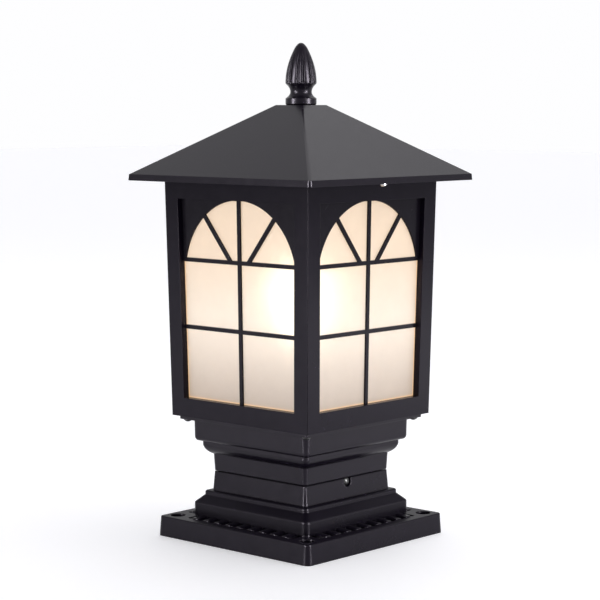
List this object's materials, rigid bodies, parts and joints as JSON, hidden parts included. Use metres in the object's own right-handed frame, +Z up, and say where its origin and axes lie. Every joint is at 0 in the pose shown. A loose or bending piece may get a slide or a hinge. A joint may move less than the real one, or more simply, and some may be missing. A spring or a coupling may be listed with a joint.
{
  "type": "post top lantern",
  "caption": "Square post top lantern: cast pedestal and neck, leaning frames with arched window grilles over frosted glass, lift-off pyramid roof and finial.",
  "frame": {"origin": "middle of the pedestal's underside, where it stands on the pier", "axes": "+Z up, -Y out of the front window, +X out of the right window, whose face carries screws"},
  "size_m": [0.2378, 0.2378, 0.4805],
  "materials": {
    "black_casting": "satin black powder coat",
    "black_grille": "satin black powder coat",
    "black_screw": "satin black",
    "steel_screw": "plain stainless",
    "zinc_sheet": "zinc plated",
    "frosted_glass": "frosted, cream, lit from inside",
    "seal_rubber": "matt black",
    "holder_ceramic": "white glaze",
    "plain_brass": "plain",
    "bulb_white": "opal, lit",
    "cap_metal": "plain",
    "block_plastic": "natural",
    "brown_cover": "brown insulation",
    "blue_cover": "blue insulation",
    "earth_cover": "green and yellow insulation"
  },
  "bodies": {
    "pedestal": {"pedestal_base": "black_casting"},
    "head": {"neck_casting": "black_casting", "neck_gasket": "seal_rubber", "side_frame_front": "black_casting", "side_frame_right": "black_casting", "side_frame_back": "black_casting", "side_frame_left": "black_casting", "window_grille_front": "black_grille", "window_grille_right": "black_grille", "window_grille_back": "black_grille", "window_grille_left": "black_grille", "glass_pane_front": "frosted_glass", "glass_pane_right": "frosted_glass", "glass_pane_back": "frosted_glass", "glass_pane_left": "frosted_glass", "glass_clips": "zinc_sheet", "clip_screws": "steel_screw", "corner_screws": "black_screw", "seam_screws": "black_screw", "roof_screws": "steel_screw", "chamber_floor": "zinc_sheet", "floor_screws": "steel_screw", "lamp_bracket": "zinc_sheet", "bracket_screws": "steel_screw", "lamp_holder": "holder_ceramic", "socket_shell": "plain_brass", "centre_contact": "plain_brass", "holder_screws": "steel_screw", "cable_grommet": "seal_rubber", "terminal_block": "block_plastic", "terminal_screw": "steel_screw", "live_lead": "brown_cover", "neutral_lead": "blue_cover", "earth_lead": "earth_cover", "earth_screw": "plain_brass"},
    "roof_assembly": {"roof": "black_casting", "roof_gasket": "seal_rubber", "finial": "black_casting", "finial_stud": "steel_screw", "finial_washer": "steel_screw", "finial_nut": "steel_screw"},
    "bulb": {"bulb_glass": "bulb_white", "bulb_cap": "cap_metal", "bulb_contact": "plain_brass"}
  },
  "joints": [
    {"name": "head_lift", "type": "slide", "parent": "pedestal", "child": "head", "axis": [0, 0, 1], "range_m": [0, 0.05]},
    {"name": "roof_lift", "type": "slide", "parent": "head", "child": "roof_assembly", "axis": [0, 0, 1], "range_m": [0, 0.12]},
    {"name": "bulb_out", "type": "slide", "parent": "head", "child": "bulb", "axis": [0, 0, 1], "range_m": [0, 0.03]}
  ]
}
